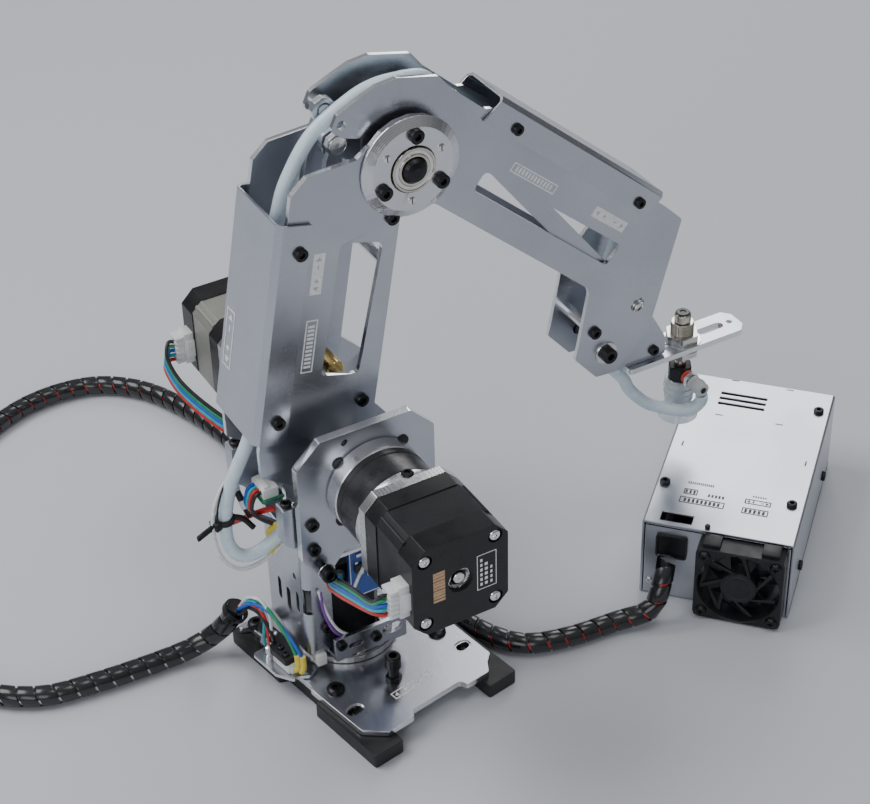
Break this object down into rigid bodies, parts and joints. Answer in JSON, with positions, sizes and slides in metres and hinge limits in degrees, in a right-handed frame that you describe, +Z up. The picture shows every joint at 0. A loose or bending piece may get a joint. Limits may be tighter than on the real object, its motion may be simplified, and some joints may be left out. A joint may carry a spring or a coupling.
{
  "type": "desktop robot arm",
  "caption": "Desktop palletising robot arm with levelling links, stepper gear motors, suction cup, slotted base and fan-cooled controller box joined by a wrapped harness.",
  "frame": {"origin": "table plane under the turntable axis, on the underside of the foot frame's web", "axes": "+Z up along the turntable axis, +Y along the two foot rails, +X towards the side the arm reaches over; the arm rests turned 10.2 degrees clockwise from +X"},
  "size_m": [0.4142, 0.3741, 0.285],
  "materials": {
    "satin_aluminium": "satin",
    "bright_steel": "bright",
    "black_oxide_steel": "black oxide",
    "nickel": "nickel plated",
    "brass": "polished",
    "black_motor_paint": "semi gloss",
    "black_plastic": "matte",
    "white_nylon": "satin",
    "blue_board": "solder mask",
    "green_board": "solder mask",
    "milky_silicone": "translucent",
    "red_seal": "matte",
    "black_spiral_wrap": "gloss"
  },
  "bodies": {
    "base": {"base_frame": "black_plastic", "base_plate": "satin_aluminium", "turntable_ring": "bright_steel", "stop_post": "black_oxide_steel", "limit_flange": "bright_steel", "limit_switch": "white_nylon", "box_tray": "satin_aluminium", "box_cover": "satin_aluminium", "fan_frame": "black_plastic", "box_board": "green_board", "harness_cable": "black_spiral_wrap"},
    "turret": {"turntable_disc": "bright_steel", "turntable_bracket": "satin_aluminium", "column_sheet": "satin_aluminium", "column_cap": "satin_aluminium", "base_motor": "black_motor_paint", "control_board": "blue_board", "side_plate_near": "satin_aluminium", "side_plate_far": "satin_aluminium", "link_post": "bright_steel", "shoulder_gearbox": "satin_aluminium", "shoulder_motor": "black_motor_paint", "shoulder_connector": "white_nylon", "elbow_gearbox": "satin_aluminium", "elbow_motor": "black_motor_paint", "elbow_connector": "white_nylon", "air_tube_turret": "milky_silicone"},
    "lower_arm": {"lower_plate_near": "satin_aluminium", "lower_plate_far": "satin_aluminium", "rear_cover": "satin_aluminium", "shoulder_hub": "bright_steel", "elbow_flange_near": "satin_aluminium", "elbow_flange_far": "satin_aluminium", "elbow_bearing_near": "bright_steel", "elbow_bearing_far": "bright_steel", "elbow_axle": "black_oxide_steel", "air_tube_lower": "milky_silicone"},
    "triangle": {"level_triangle": "satin_aluminium", "air_tube_elbow": "milky_silicone"},
    "forearm": {"forearm_plate_near": "satin_aluminium", "forearm_plate_far": "satin_aluminium", "forearm_cover": "satin_aluminium", "wrist_axle": "black_oxide_steel", "air_tube_fore": "milky_silicone"},
    "hand": {"wrist_web": "satin_aluminium", "wrist_tongue": "satin_aluminium", "shaft_bush": "nickel", "air_tube_hand": "milky_silicone"},
    "sucker": {"suction_stem": "nickel", "suction_body": "black_plastic", "suction_seal": "red_seal", "suction_fitting": "bright_steel", "suction_cup": "milky_silicone"},
    "upper_rod": {"upper_link": "satin_aluminium"},
    "lower_rod": {"level_link": "bright_steel"},
    "crank": {"elbow_crank": "bright_steel"},
    "crank_pivot": {"crank_pin": "brass"},
    "drive_rod": {"drive_rod": "bright_steel"},
    "rotor": {"fan_rotor": "black_plastic"}
  },
  "joints": [
    {"name": "base_turn", "type": "hinge", "parent": "base", "child": "turret", "pos_m": [0, 0, 0.016], "axis": [0, 0, 1], "range_deg": [-90, 90]},
    {"name": "shoulder", "type": "hinge", "parent": "turret", "child": "lower_arm", "pos_m": [0, 0, 0.1183], "axis": [0.1771, 0.9842, 0], "range_deg": [-30, 18]},
    {"name": "triangle_level", "type": "hinge", "parent": "lower_arm", "child": "triangle", "pos_m": [0.02996, -0.00539, 0.24859], "axis": [0.1771, 0.9842, 0], "range_deg": [-18, 30]},
    {"name": "elbow", "type": "hinge", "parent": "triangle", "child": "forearm", "pos_m": [0.02996, -0.00539, 0.24859], "axis": [0.1771, 0.9842, 0], "range_deg": [-45, 8]},
    {"name": "wrist_level", "type": "hinge", "parent": "forearm", "child": "hand", "pos_m": [0.12551, -0.02258, 0.12179], "axis": [0.1771, 0.9842, 0], "range_deg": [-8, 45]},
    {"name": "upper_rod_swing", "type": "hinge", "parent": "triangle", "child": "upper_rod", "pos_m": [0.04767, -0.00858, 0.26459], "axis": [0.1771, 0.9842, 0], "range_deg": [-45, 8]},
    {"name": "lower_rod_swing", "type": "hinge", "parent": "turret", "child": "lower_rod", "pos_m": [-0.02559, 0.0046, 0.131], "axis": [0.1771, 0.9842, 0], "range_deg": [-30, 18]},
    {"name": "crank_turn", "type": "hinge", "parent": "turret", "child": "crank", "pos_m": [0, 0, 0.1183], "axis": [0.1771, 0.9842, 0], "range_deg": [-45, 8]},
    {"name": "crank_pivot_level", "type": "hinge", "parent": "crank", "child": "crank_pivot", "pos_m": [-0.0246, 0.00443, 0.1403], "axis": [0.1771, 0.9842, 0], "range_deg": [-8, 45]},
    {"name": "drive_rod_swing", "type": "hinge", "parent": "crank_pivot", "child": "drive_rod", "pos_m": [-0.0246, 0.00443, 0.1403], "axis": [0.1771, 0.9842, 0], "range_deg": [-30, 18]},
    {"name": "cup_slide", "type": "slide", "parent": "hand", "child": "sucker", "axis": [0, 0, 1], "range_m": [0, 0.005], "stiffness_N_per_m": 400, "springref_m": -0.002},
    {"name": "fan_spin", "type": "hinge", "parent": "base", "child": "rotor", "pos_m": [0.14535, -0.10215, 0.0206], "axis": [0.8406, 0.5417, 0], "continuous": true}
  ],
  "couplings": [
    {"joint": "triangle_level", "follows": "shoulder", "ratio": -1},
    {"joint": "lower_rod_swing", "follows": "shoulder", "ratio": 1},
    {"joint": "drive_rod_swing", "follows": "shoulder", "ratio": 1},
    {"joint": "wrist_level", "follows": "elbow", "ratio": -1},
    {"joint": "upper_rod_swing", "follows": "elbow", "ratio": 1},
    {"joint": "crank_turn", "follows": "elbow", "ratio": 1},
    {"joint": "crank_pivot_level", "follows": "elbow", "ratio": -1}
  ]
}
